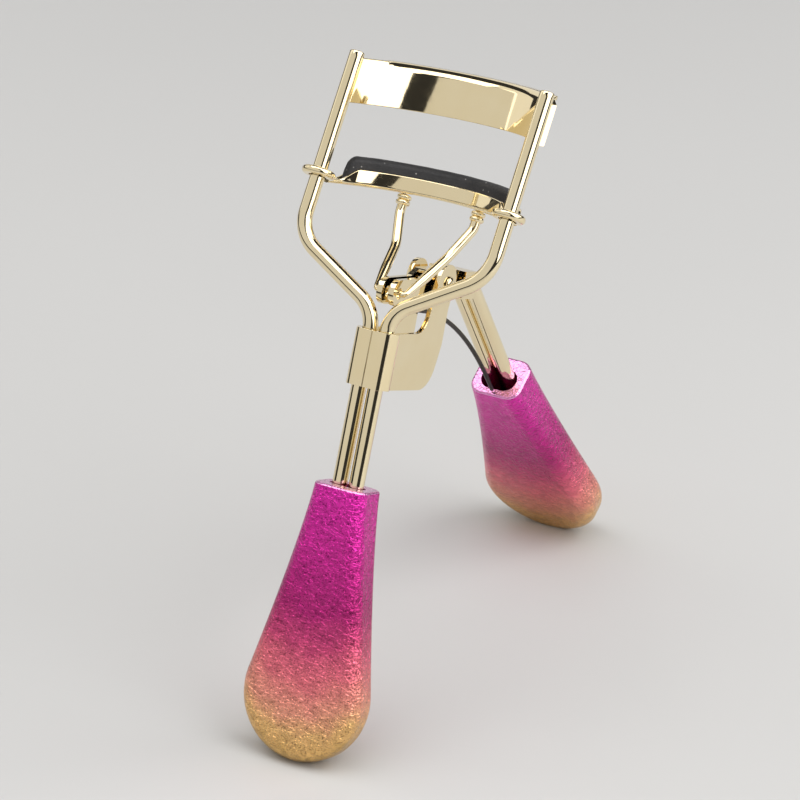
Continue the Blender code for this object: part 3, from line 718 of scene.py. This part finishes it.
def build_handle(name, node, matrix, body, socket_size):
    bm = prism(handle_outline(), "Y", -0.5, 0.5)
    for vert in bm.verts:
        share = vert.co.z / HANDLE_LENGTH
        vert.co.y *= HANDLE_TIP_THICKNESS + (HANDLE_TOP_THICKNESS - HANDLE_TIP_THICKNESS) * share
    flats = [f for f in bm.faces if abs(f.normal.y) > 0.9]
    rim = [e for f in flats for e in f.edges if min(v.co.z for v in e.verts) < HANDLE_LENGTH * 0.999]
    bmesh.ops.bevel(bm, geom=rim, offset=SOFT_RIM_RADIUS, segments=14, profile=0.5, affect="EDGES")
    top = [e for e in bm.edges if all(v.co.z > HANDLE_LENGTH * 0.999 for v in e.verts)]
    bmesh.ops.bevel(bm, geom=top, offset=0.5, segments=5, profile=0.5, affect="EDGES")
    width, thickness, middle = socket_size
    slot = slot_outline(width, thickness, middle, thickness * 0.48)
    hole = prism(slot, "Z", HANDLE_LENGTH - SOCKET_DEPTH, HANDLE_LENGTH + 5)
    ground = box((-100, -100, -100), (100, 100, 0))
    to_local = matrix.inverted() @ Matrix.Diagonal((MM, MM, MM, 1))
    bmesh.ops.transform(ground, verts=ground.verts, matrix=Matrix.Scale(1 / MM, 4) @ to_local)
    mesh = carve(bmesh_to_mesh(name, bm), [(hole, "DIFFERENCE"), (ground, "DIFFERENCE")])
    foil = crinkled_foil(node + "_foil", matrix, HANDLE_LENGTH * MM)
    obj = finish_piece(name, mesh, matrix, body, [node], foil, 40.0)
    return weighted(obj)


def build_bracket():
    """One sheet folded round both shank wires, with its two cheeks trimmed to their side view."""
    wrap = WIRE_RADIUS + FIT_GAP + SHEET / 2
    corners = [
        (0.35, 0.06 - wrap),
        (2.7, 0.06 - wrap),
        (3.5, 0.3),
        (CHEEK_CENTRE, 1.9),
        (CHEEK_CENTRE, CHEEK_BACK + 4),
    ]
    right = arc_corners([Vector((x, y, 0)) for x, y in corners], [0.9, 0.8, 1.2], 0.15)
    line = [(-p.x, p.y) for p in reversed(right)] + [(0, 0.3 - wrap)] + [(p.x, p.y) for p in right]
    bm = bmesh.new()
    verts = [bm.verts.new((x, y, BAND_BOTTOM - 2)) for x, y in line]
    edges = [bm.edges.new(pair) for pair in zip(verts, verts[1:])]
    grown = bmesh.ops.extrude_edge_only(bm, edges=edges)["geom"]
    raised = [item for item in grown if isinstance(item, bmesh.types.BMVert)]
    bmesh.ops.translate(bm, verts=raised, vec=(0, 0, 28))
    mesh = bmesh_to_mesh("bracket", bm)
    scene = bpy.context.scene
    sheet = bpy.data.objects.new("sheet", mesh)
    scene.collection.objects.link(sheet)
    solidify = sheet.modifiers.new("sheet", "SOLIDIFY")
    solidify.thickness = SHEET
    solidify.offset = 0.0
    solidify.use_even_offset = True
    bpy.context.view_layer.update()
    graph = bpy.context.evaluated_depsgraph_get()
    mesh = bpy.data.meshes.new_from_object(sheet.evaluated_get(graph))
    bpy.data.objects.remove(sheet)
    front = -wrap - 2
    corners = [
        (front, BAND_BOTTOM),
        (CHEEK_BACK - 1.9, BAND_BOTTOM - 0.4),
        (CHEEK_BACK, BAND_TOP - 2),
        (CHEEK_BACK - 0.2, PIVOT_HEIGHT - 4.4),
        (PIVOT_BACK + EAR_RADIUS, PIVOT_HEIGHT + EAR_RADIUS),
        (PIVOT_BACK - EAR_RADIUS, PIVOT_HEIGHT + EAR_RADIUS),
        (PIVOT_BACK - 5.3, BAND_TOP),
        (front, BAND_TOP),
    ]
    ear = EAR_RADIUS * 0.9
    outline = rounded_loop(corners, [0, 5, 4, 2, ear, ear, 3.4, 0], 16)
    across = Matrix.Translation((0, PIVOT_BACK, PIVOT_HEIGHT)) @ Matrix.Rotation(math.pi / 2, 4, "Y")
    hole = disc(PIN_BORE_RADIUS, 14, across)
    mesh = carve(mesh, [(prism(outline, "X", -6, 6), "INTERSECT"), (hole, "DIFFERENCE")], 0.16, 3)
    obj = finish_piece(
        "hinge_bracket_fine", mesh, STAND, "frame", ["hinge_bracket"], GOLD, 42.0
    )
    return weighted(obj)


def build_pin():
    under = CHEEK_CENTRE + SHEET / 2 + 0.12
    half = [(0.001, under + PIN_HEAD_HEIGHT)]
    for step in range(1, 13):
        turn = math.pi / 2 * step / 12
        half.append((PIN_HEAD_RADIUS * math.sin(turn), under + PIN_HEAD_HEIGHT * math.cos(turn)))
    half.append((PIN_RADIUS, under))
    profile = half + [(radius, -height) for radius, height in reversed(half)]
    rings = []
    for radius, height in profile:
        turns = [2 * math.pi * step / 40 for step in range(40)]
        rings.append([(height, radius * math.cos(t), radius * math.sin(t)) for t in turns])
    mesh = ring_sweep("pivot_pin_fine", rings)
    place = STAND @ Matrix.Translation(Vector((0, PIVOT_BACK, PIVOT_HEIGHT)) * MM)
    finish_piece("pivot_pin_fine", mesh, place, "frame", ["pivot_pin"], GOLD, 50.0)


def upper_plan():
    """(place, outward, lip, wrapped) along the upper jaw's middle line, from wrap to wrap."""
    rail = Vector((RAIL_SPACING / 2, 0))
    centre = Vector((0, JAW_CENTRE_Y))
    turn_radius = 1.6
    outer = JAW_RADIUS + turn_radius
    inner = WRAP_RADIUS + turn_radius
    apart = (rail - centre).length
    reach = (outer**2 - inner**2 + apart**2) / (2 * apart)
    rise = math.sqrt(outer**2 - reach**2)
    along = (rail - centre) / apart
    turn_centre = centre + along * reach + Vector((-along.y, along.x)) * rise
    arm = turn_centre - centre
    arc_end = math.atan2(arm.x, arm.y)
    half = []
    for step in range(81):
        turn = arc_end * step / 80
        out = Vector((math.sin(turn), math.cos(turn)))
        share = min(max((LIP_END_ANGLE - turn) / LIP_FADE_ANGLE, 0.0), 1.0)
        lip = math.sqrt(1 - (1 - share) ** 2)
        half.append((centre + out * JAW_RADIUS, out, lip, 0.0))
    first = (centre - turn_centre).normalized()
    last = (rail - turn_centre).normalized()
    sweep = first.angle(last)
    for step in range(1, 9):
        turn = sweep * step / 8
        arm = (first * math.sin(sweep - turn) + last * math.sin(turn)) / math.sin(sweep)
        half.append((turn_centre + arm * turn_radius, -arm, 0.0, 0.0))
    start = math.atan2(-last.y, -last.x)
    for step in range(1, 17):
        share = step / 16
        turn = start + (WRAP_END_ANGLE - start) * share
        out = Vector((math.cos(turn), math.sin(turn)))
        half.append((rail + out * WRAP_RADIUS, out, 0.0, share))
    left = [(Vector((-p.x, p.y)), Vector((-n.x, n.y)), lip, wrap) for p, n, lip, wrap in half[:0:-1]]
    return left + half


def build_upper_jaw():
    rings = []
    half = SHEET / 2
    soft = 0.16
    for point, out, lip, wrapped in upper_plan():
        bottom = UPPER_BOTTOM
        top = UPPER_TOP - 0.9 * wrapped
        fillet = 0.3 + 1.1 * lip
        end = SHEET + UPPER_LIP * lip
        drop = 0.32 + (SHEET - 0.32) * lip
        under = 0.02 + 0.58 * lip
        section = []
        for step in range(5):
            turn = math.pi / 2 * step / 4
            section.append((soft - soft * math.sin(turn), bottom + soft - soft * math.cos(turn)))
        for step in range(9):
            turn = math.pi / 2 * step / 8
            section.append((fillet - fillet * math.cos(turn), top - fillet + fillet * math.sin(turn)))
        for step in range(5):
            turn = math.pi / 2 * step / 4
            section.append((end - soft + soft * math.sin(turn), top - soft + soft * math.cos(turn)))
        for step in range(5):
            turn = math.pi / 2 * step / 4
            section.append((end - soft + soft * math.cos(turn), top - drop + soft - soft * math.sin(turn)))
        for step in range(5):
            turn = math.pi / 2 * step / 4
            section.append(
                (SHEET + under - under * math.sin(turn), top - drop - under + under * math.cos(turn))
            )
        for step in range(5):
            turn = math.pi / 2 * step / 4
            section.append((SHEET - soft + soft * math.cos(turn), bottom + soft - soft * math.sin(turn)))
        ring = []
        for across, height in section:
            place = point + out * (across - half)
            ring.append((place.x, place.y, height + place.y * JAW_TILT))
        rings.append(ring)
    mesh = ring_sweep("upper_jaw_fine", rings)
    obj = finish_piece("upper_jaw_fine", mesh, RAILS, "frame", ["upper_jaw"], GOLD, 60.0)
    return weighted(obj)


# ---------------------------------------------------------------- sliding jaw


def spun(section, half_angle, steps):
    """A closed (radius, height) section turned about the jaws' centre line, as a bmesh."""
    bm = bmesh.new()
    face = bm.faces.new([bm.verts.new((0, radius, height)) for radius, height in section])
    bmesh.ops.transform(bm, verts=bm.verts, matrix=Matrix.Rotation(-half_angle, 4, "Z"))
    bmesh.ops.spin(
        bm,
        geom=[face],
        cent=(0, 0, 0),
        axis=(0, 0, 1),
        angle=2 * half_angle,
        steps=steps,
        use_merge=False,
        use_duplicate=False,
    )
    bmesh.ops.translate(bm, verts=bm.verts, vec=(0, JAW_CENTRE_Y, 0))
    bmesh.ops.recalc_face_normals(bm, faces=bm.faces)
    return bm


def build_lower_jaw():
    inner = JAW_RADIUS - CHANNEL_WIDTH / 2
    outer = JAW_RADIUS + CHANNEL_WIDTH / 2
    floor = LOWER_BOTTOM + CHANNEL_SHEET
    top = LOWER_BOTTOM + CHANNEL_HEIGHT
    section = rounded_loop(
        [
            (inner, LOWER_BOTTOM),
            (inner, top),
            (inner + CHANNEL_SHEET, top),
            (inner + CHANNEL_SHEET, floor),
            (outer - CHANNEL_SHEET, floor),
            (outer - CHANNEL_SHEET, top - 0.8),
            (outer, top - 0.8),
            (outer, LOWER_BOTTOM),
        ],
        [0.9, 0.2, 0.2, 0.25, 0.25, 0.2, 0.2, 0.9],
        5,
    )
    bm = spun(section, CHANNEL_HALF_ANGLE, 128)
    for vert in bm.verts:
        arm = vert.co - Vector((0, JAW_CENTRE_Y, 0))
        turn = abs(math.atan2(arm.x, arm.y))
        share = (WALL_END_ANGLE - turn) / (WALL_END_ANGLE - WALL_FULL_ANGLE)
        share = min(max(share, 0.0), 1.0)
        share = share * share * (3 - 2 * share)
        radius = math.hypot(arm.x, arm.y)
        wanted = JAW_RADIUS + (radius - JAW_RADIUS) * (0.62 + 0.38 * share)
        vert.co.x = arm.x * wanted / radius
        vert.co.y = JAW_CENTRE_Y + arm.y * wanted / radius
        if vert.co.z > floor + 0.01:
            vert.co.z = floor + (vert.co.z - floor) * (0.08 + 0.92 * share)
        vert.co.z += vert.co.y * JAW_TILT
    cuts = []
    for side in (-1, 1):
        middle = Matrix.Translation((side * RAIL_SPACING / 2, 0, EYE_BOTTOM + EYE_THICKNESS / 2))
        ring = disc(EYE_RADIUS, EYE_THICKNESS, middle)
        rims = [e for e in ring.edges if abs(e.verts[0].co.z - e.verts[1].co.z) < 0.01]
        bmesh.ops.bevel(ring, geom=rims, offset=0.55, segments=6, profile=0.5, affect="EDGES")
        cuts.append((ring, "UNION"))
    for side in (-1, 1):
        middle = Matrix.Translation((side * RAIL_SPACING / 2, 0, EYE_BOTTOM))
        cuts.append((disc(EYE_BORE_RADIUS, 16, middle, 48), "DIFFERENCE"))
    mesh = carve(bmesh_to_mesh("lower_jaw_fine", bm), cuts)
    obj = finish_piece(
        "lower_jaw_fine", mesh, RAILS, "sliding_jaw", ["lower_jaw"], GOLD, 42.0
    )
    return weighted(obj)


def build_pad():
    half = PAD_WIDTH / 2
    floor = LOWER_BOTTOM + CHANNEL_SHEET + 0.15
    top = LOWER_BOTTOM + PAD_TOP
    section = rounded_loop(
        [
            (JAW_RADIUS - half, floor),
            (JAW_RADIUS - half, top),
            (JAW_RADIUS + half, top),
            (JAW_RADIUS + half, floor),
        ],
        [0, 0.95, 0.95, 0],
        10,
    )
    bm = spun(section, PAD_HALF_ANGLE, 120)
    end_angle = math.radians(4.5)
    for vert in bm.verts:
        arm = vert.co - Vector((0, JAW_CENTRE_Y, 0))
        left = PAD_HALF_ANGLE - abs(math.atan2(arm.x, arm.y))
        share = min(left / end_angle, 1.0)
        share = 0.45 + 0.55 * math.sqrt(max(1 - (1 - share) ** 2, 0.0))
        radius = math.hypot(arm.x, arm.y)
        wanted = JAW_RADIUS + (radius - JAW_RADIUS) * share
        wobble = noise.noise(vert.co * 0.35) * 0.05
        vert.co.x = arm.x * wanted / radius
        vert.co.y = JAW_CENTRE_Y + arm.y * wanted / radius
        height = (vert.co.z - floor) * share
        vert.co.z = floor + height + (wobble - 0.05) * min(height / 3.0, 1.0)
        vert.co.z += vert.co.y * JAW_TILT
    mesh = bmesh_to_mesh("lash_pad_fine", bm)
    finish_piece("lash_pad_fine", mesh, RAILS, "sliding_jaw", ["lash_pad"], RUBBER, 50.0)


def jaw_point(x, height):
    """A point on the jaws' centre line, in the rails' frame."""
    y = JAW_CENTRE_Y + math.sqrt(JAW_RADIUS**2 - x**2)
    return Vector((x, y, height + y * JAW_TILT))


def rail_to_shank(point):
    """A point of the rails' frame, in the shank's."""
    return Matrix.Rotation(-RAIL_KINK, 3, "X") @ point + Vector((0, 0, CORNER_HEIGHT))


def build_push_rods():
    for side, node in ((-1, "push_rod_left"), (1, "push_rod_right")):
        height = LOWER_BOTTOM - ROD_GAP
        top = rail_to_shank(jaw_point(side * ROD_TOP_X, height))
        neck = rail_to_shank(jaw_point(side * ROD_TOP_X, height - ROD_NECK))
        elbow = Vector((side * ROD_ELBOW[0], ROD_ELBOW[1], ROD_ELBOW[2]))
        tip_x = side * (FORK_WIDTH / 2 + KNUCKLE_GAP + ROD_RADIUS)
        tip = Vector((tip_x, PIVOT_BACK - TIP_REACH, PIVOT_HEIGHT - TIP_DROP))
        eye = Vector((side * (FORK_WIDTH / 2 + HOOK_CLEARANCE), tip.y, tip.z))
        path = arc_corners([top, neck, elbow, tip, eye], [3, 7, 0.6], 0.25)
        down = (path[1] - path[0]).normalized()
        points = []
        scales = []
        steps = 44
        for step in range(steps + 1):
            along = 2 * BEAD_LENGTH * step / steps
            swell = abs(math.sin(math.pi * along / BEAD_LENGTH))
            points.append(path[0] + down * along)
            scales.append(1.0 + (BEAD_SCALE - 1.0) * math.sqrt(swell))
        rest = [p for p in path[1:] if (p - path[0]).length > 2 * BEAD_LENGTH + 0.25]
        points += rest
        for point in rest:
            share = min((point - tip).length / ROD_TIP_TAPER, 1.0)
            scales.append(ROD_TIP_SCALE + (1.0 - ROD_TIP_SCALE) * share)
        mesh = tube_mesh(node + "_fine", points, ROD_RADIUS, 28, scales, 0.12)
        finish_piece(node + "_fine", mesh, STAND, "sliding_jaw", [node], GOLD_WIRE)


# ---------------------------------------------------------------- lever


def build_lever_head():
    knuckle = -TIP_REACH - KNUCKLE_RADIUS
    low = -TIP_DROP - KNUCKLE_RADIUS
    corners = [
        (knuckle, low),
        (knuckle + 5.4, low),
        (-2.0, -3.0),
        (3.5, -2.6),
        (SLEEVE_END, -2.5),
        (SLEEVE_END, 2.3),
        (-4.0, 2.0),
        (-7.0, 0.6),
        (knuckle, -TIP_DROP + KNUCKLE_RADIUS),
    ]
    rounding = KNUCKLE_RADIUS * 0.95
    outline = rounded_loop(corners, [rounding, 1, 3, 2, 0.8, 1.2, 1.2, 2, rounding], 14)
    bm = prism(outline, "X", -SLEEVE_WIDTH / 2, SLEEVE_WIDTH / 2)
    far = 30
    cuts = []
    for side in (-1, 1):
        near = side * FORK_WIDTH / 2
        end = side * far
        outside = box((min(near, end), -far, -far), (max(near, end), SLEEVE_START, far))
        cuts.append((outside, "DIFFERENCE"))
    gap = FORK_WIDTH / 2 - LOBE_SHEET
    cuts.append((box((-gap, -far, -far), (gap, -WEB_START, far)), "DIFFERENCE"))
    cuts.append((box((-gap, -WEB_START - 1, -far), (gap, SLEEVE_START - 1.2, 1.2)), "DIFFERENCE"))
    radius = WIRE_RADIUS + FIT_GAP
    half = SHANK_PITCH / 2 + radius
    slot = slot_outline(half * 2, radius * 2, LEVER_BEND_HEIGHT, radius * 0.97)
    cuts.append((prism(slot, "Y", SLEEVE_START + 0.8, SLEEVE_END + 5), "DIFFERENCE"))
    cuts.append((disc(PIN_BORE_RADIUS, 14, Matrix.Rotation(math.pi / 2, 4, "Y"), 40), "DIFFERENCE"))
    knuckle_axis = Matrix.Translation((0, -TIP_REACH, -TIP_DROP)) @ Matrix.Rotation(math.pi / 2, 4, "Y")
    cuts.append((disc(KNUCKLE_BORE, 14, knuckle_axis, 40), "DIFFERENCE"))
    mesh = carve(bmesh_to_mesh("lever_head_fine", bm), cuts, 0.22, 4)
    obj = finish_piece("lever_head_fine", mesh, LEVER, "lever", ["lever_head"], GOLD, 42.0)
    return weighted(obj)


def handle_top():
    """The lever's bend, its handle's top and the way down to the tip, in the lever's frame."""
    bend = Vector((0, LEVER_BEND_BACK, LEVER_BEND_HEIGHT))
    down = Vector((0, math.sin(LEVER_SPREAD), -math.cos(LEVER_SPREAD)))
    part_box("rear_handle")  # stops here if the pack has no rear handle
    lean = LEVER_SPREAD - LEAN
    inner = HANDLE_TIP_THICKNESS / 2 - RIM_RADIUS
    tip = (RIM_RADIUS - FOOT_CUT + inner * math.sin(lean)) / math.cos(lean) - RIM_RADIUS
    drop = (LEVER @ (bend * MM)).z / MM
    length = (drop - tip * math.cos(lean)) / math.cos(lean)
    return bend, bend + down * (length - HANDLE_LENGTH), down


def build_lever_wires():
    bend, top, down = handle_top()
    for side, node in ((-1, "lever_wire_left"), (1, "lever_wire_right")):
        shift = Vector((side * SHANK_PITCH / 2, 0, 0))
        corners = [
            Vector((0, SLEEVE_START + 1.2, LEVER_BEND_HEIGHT)) + shift,
            bend + shift,
            top + down * (SOCKET_DEPTH - LEVER_WIRE_SHORT) + shift,
        ]
        mesh = tube_mesh(node + "_fine", arc_corners(corners, [4]), WIRE_RADIUS, 40)
        finish_piece(node + "_fine", mesh, LEVER, "lever", [node], GOLD_WIRE)


def build_spring():
    _, top, down = handle_top()
    front = Vector((0, -math.cos(LEVER_SPREAD), -math.sin(LEVER_SPREAD)))
    pivot = Vector((0, PIVOT_BACK, PIVOT_HEIGHT))
    end = pivot + top - down * SPRING_END_DEPTH + front * SPRING_END_FRONT
    start = Vector(SPRING_START)
    crown = Vector(SPRING_CROWN)
    points = []
    steps = 90
    for step in range(steps + 1):
        share = step / steps
        points.append(start * (1 - share) ** 2 + crown * 2 * share * (1 - share) + end * share**2)
    mesh = tube_mesh("return_spring_fine", points, SPRING_RADIUS, 18, None, 0.1)
    obj = finish_piece(
        "return_spring_fine", mesh, STAND, None, ["return_spring"], SPRING_STEEL
    )
    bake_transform(obj)


# ---------------------------------------------------------------- stage


def area_light(name, azimuth, elevation, distance, width, height, radiance, colour):
    """A soft box facing the object. radiance is its brightness as seen in a mirror."""
    a, e = math.radians(azimuth), math.radians(elevation)
    back = Vector((math.sin(a) * math.cos(e), -math.cos(a) * math.cos(e), math.sin(e)))
    data = bpy.data.lights.new(name, "AREA")
    data.shape = "RECTANGLE"
    data.size = width
    data.size_y = height
    data.energy = radiance * math.pi * width * height
    data.color = colour
    light = bpy.data.objects.new(name, data)
    light.location = LIGHT_TARGET + back * distance
    light.rotation_euler = back.to_track_quat("Z", "Y").to_euler()
    light.visible_camera = False
    bpy.context.scene.collection.objects.link(light)


def build_stage():
    for soft_box in SOFT_BOXES:
        area_light(*soft_box)
    world = bpy.data.worlds.new("studio")
    bpy.context.scene.world = world
    world.use_nodes = True
    world.node_tree.nodes["Background"].inputs["Color"].default_value = STUDIO_GREY
    corners = [(x * FLOOR_HALF, y * FLOOR_HALF, 0) for x, y in ((-1, -1), (1, -1), (1, 1), (-1, 1))]
    mesh = mesh_from("floor", corners, [(0, 1, 2, 3)])
    floor = bpy.data.objects.new("floor", mesh)
    bpy.context.scene.collection.objects.link(floor)
    floor.location.z = CAD_LOW.z - FLOOR_DROP
    mesh.materials.append(pale_floor("pale_floor"))


def build_camera():
    azimuth = math.radians(CAMERA_AZIMUTH)
    elevation = math.radians(CAMERA_ELEVATION)
    back = Vector(
        (
            math.sin(azimuth) * math.cos(elevation),
            -math.cos(azimuth) * math.cos(elevation),
            math.sin(elevation),
        )
    )
    data = bpy.data.cameras.new("camera")
    data.lens = CAMERA_LENS
    data.sensor_width = 36.0
    data.clip_start = 0.01
    camera = bpy.data.objects.new("camera", data)
    camera.location = CAMERA_AIM + back * CAMERA_DISTANCE
    right = Vector((math.cos(azimuth), math.sin(azimuth), 0))
    up = back.cross(right)
    turn = Matrix((right, up, back)).transposed().to_4x4()
    roll = Matrix.Rotation(math.radians(CAMERA_ROLL), 4, "Z")
    camera.matrix_world = Matrix.Translation(camera.location) @ turn @ roll
    bpy.context.scene.collection.objects.link(camera)
    bpy.context.scene.camera = camera


build_frame_wires()
build_handle("front_handle_fine", "front_handle", STAND, "frame", FRONT_SOCKET)
build_bracket()
build_pin()
build_upper_jaw()
build_lower_jaw()
build_pad()
build_push_rods()
build_lever_head()
build_lever_wires()
_, HANDLE_TOP, DOWN = handle_top()
REAR_TIP = Matrix.Translation((HANDLE_TOP + DOWN * HANDLE_LENGTH) * MM)
REAR = LEVER @ REAR_TIP @ Matrix.Rotation(LEVER_SPREAD, 4, "X")
build_handle("rear_handle_fine", "rear_handle", REAR, "lever", REAR_SOCKET)
build_spring()
build_stage()
build_camera()
bpy.context.scene.view_settings.view_transform = "Standard"
